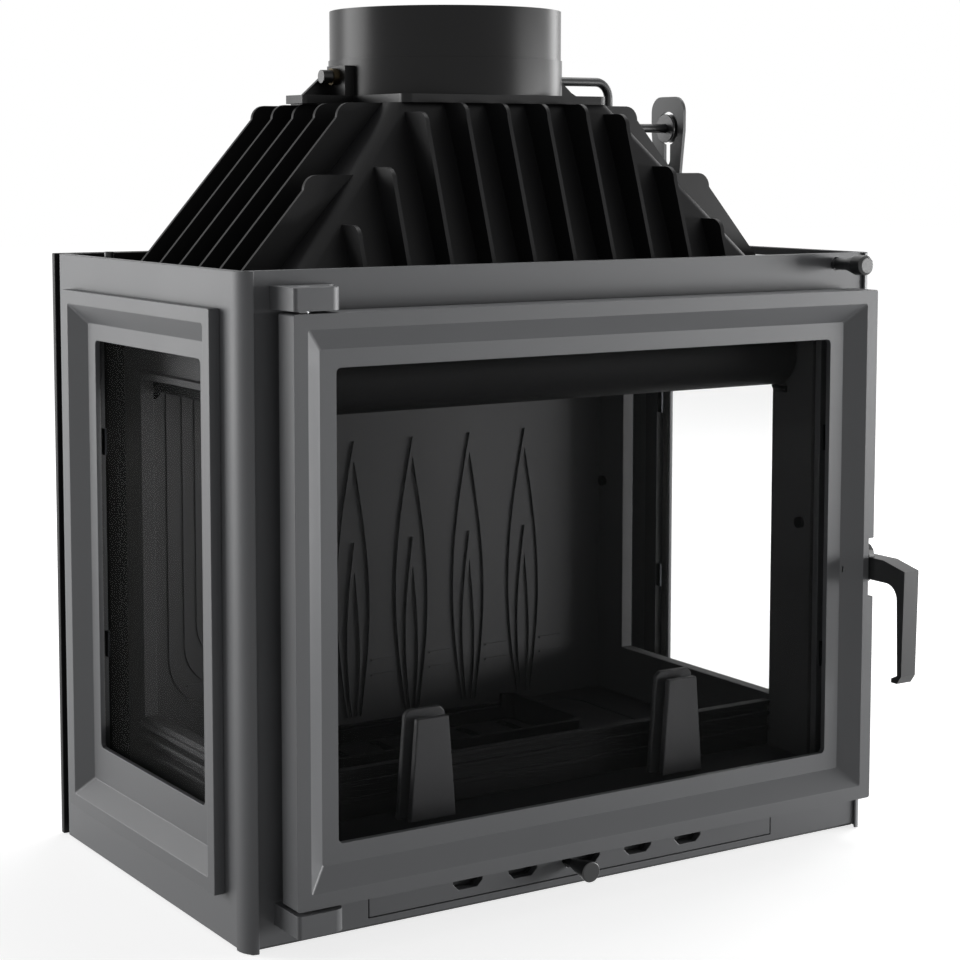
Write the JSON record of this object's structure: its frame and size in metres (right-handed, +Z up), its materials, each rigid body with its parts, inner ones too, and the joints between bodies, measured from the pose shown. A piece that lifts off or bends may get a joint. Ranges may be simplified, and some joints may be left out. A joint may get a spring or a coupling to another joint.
{
  "type": "fireplace insert",
  "caption": "Cast-iron fireplace insert with glass at the front and both sides, a hinged door, a ribbed hood, a damped flue collar and an ash drawer.",
  "frame": {"origin": "middle of the footprint on the floor plane: midway between the outer faces of the side castings and 174 mm behind the front plate's front face, close to the middle of the footprint's depth", "axes": "+X to the right seen from the front, along the width; +Y to the rear, so the door faces -Y; +Z up"},
  "size_m": [0.627, 0.441, 0.7147],
  "materials": {
    "casting": "satin heat-resistant paint on cast iron",
    "firebox_iron": "matt dark cast iron",
    "sheet": "satin painted steel sheet",
    "dark_fittings": "satin black paint",
    "steel": "plain bright steel",
    "bronze": "dull bearing bronze",
    "glass": "clear ceramic glass",
    "rope": "grey woven fibre rope and tape"
  },
  "bodies": {
    "casing": {"base_plate": "sheet", "front_plate": "casting", "left_side": "casting", "right_side": "casting", "back_plate": "casting", "top_plate": "casting", "lifting_studs": "dark_fittings", "hood": "casting", "hood_bolts": "dark_fittings", "flue_collar": "casting", "damper_bushes": "bronze", "rod_guide": "sheet", "hearth_supports": "sheet", "fireback": "firebox_iron", "left_liner": "firebox_iron", "right_liner": "firebox_iron", "liner_bolts": "dark_fittings", "hearth_plate": "firebox_iron", "front_rail": "firebox_iron", "left_log_retainer": "casting", "right_log_retainer": "casting", "deflector": "firebox_iron", "deflector_brackets": "dark_fittings", "top_hinge_bracket": "casting", "bottom_hinge_bracket": "casting", "hinge_pins": "steel", "hinge_screws": "dark_fittings", "latch_keeper": "sheet", "left_window_frame": "casting", "right_window_frame": "casting", "left_glass": "glass", "right_glass": "glass", "left_glass_seal": "rope", "right_glass_seal": "rope", "left_glass_retainer": "sheet", "right_glass_retainer": "sheet", "side_glass_clips": "steel", "drawer_runners": "sheet", "casing_bolts": "dark_fittings"},
    "door": {"door_frame": "casting", "door_glass": "glass", "door_glass_seal": "rope", "door_seal": "rope", "glass_clips": "steel"},
    "handle": {"door_handle": "dark_fittings", "latch_cam": "dark_fittings", "handle_pin": "steel"},
    "drawer": {"ash_pan": "sheet", "drawer_front": "casting"},
    "air_control": {"air_slide": "sheet", "air_knob": "dark_fittings"},
    "damper": {"damper_disc": "firebox_iron", "damper_axle": "dark_fittings", "crank_washers": "dark_fittings"},
    "pull": {"pull_rod": "steel", "damper_knob": "dark_fittings", "link_plate": "sheet"},
    "grate_tray": {"grate": "firebox_iron"}
  },
  "joints": [
    {"name": "door_hinge", "type": "hinge", "parent": "casing", "child": "door", "pos_m": [-0.263, -0.195, 0.258], "axis": [0, 0, -1], "range_deg": [0, 100]},
    {"name": "handle_lift", "type": "hinge", "parent": "door", "child": "handle", "pos_m": [0.281, -0.196, 0.239], "axis": [-1, 0, 0], "range_deg": [0, 35]},
    {"name": "drawer_slide", "type": "slide", "parent": "casing", "child": "drawer", "axis": [0, -1, 0], "range_m": [0, 0.25]},
    {"name": "air_adjust", "type": "slide", "parent": "drawer", "child": "air_control", "axis": [1, 0, 0], "range_m": [0, 0.022]},
    {"name": "damper_turn", "type": "hinge", "parent": "casing", "child": "damper", "pos_m": [0, 0.0356, 0.657], "axis": [-1, 0, 0], "range_deg": [-22.8, 40]},
    {"name": "damper_pull", "type": "slide", "parent": "casing", "child": "pull", "axis": [0, -1, 0], "range_m": [-0.0151, 0.0264]},
    {"name": "grate_lift", "type": "slide", "parent": "casing", "child": "grate_tray", "axis": [0, 0, 1], "range_m": [0, 0.06]}
  ],
  "couplings": [
    {"joint": "damper_pull", "follows": "damper_turn", "m_per_rad": 0.03775}
  ]
}
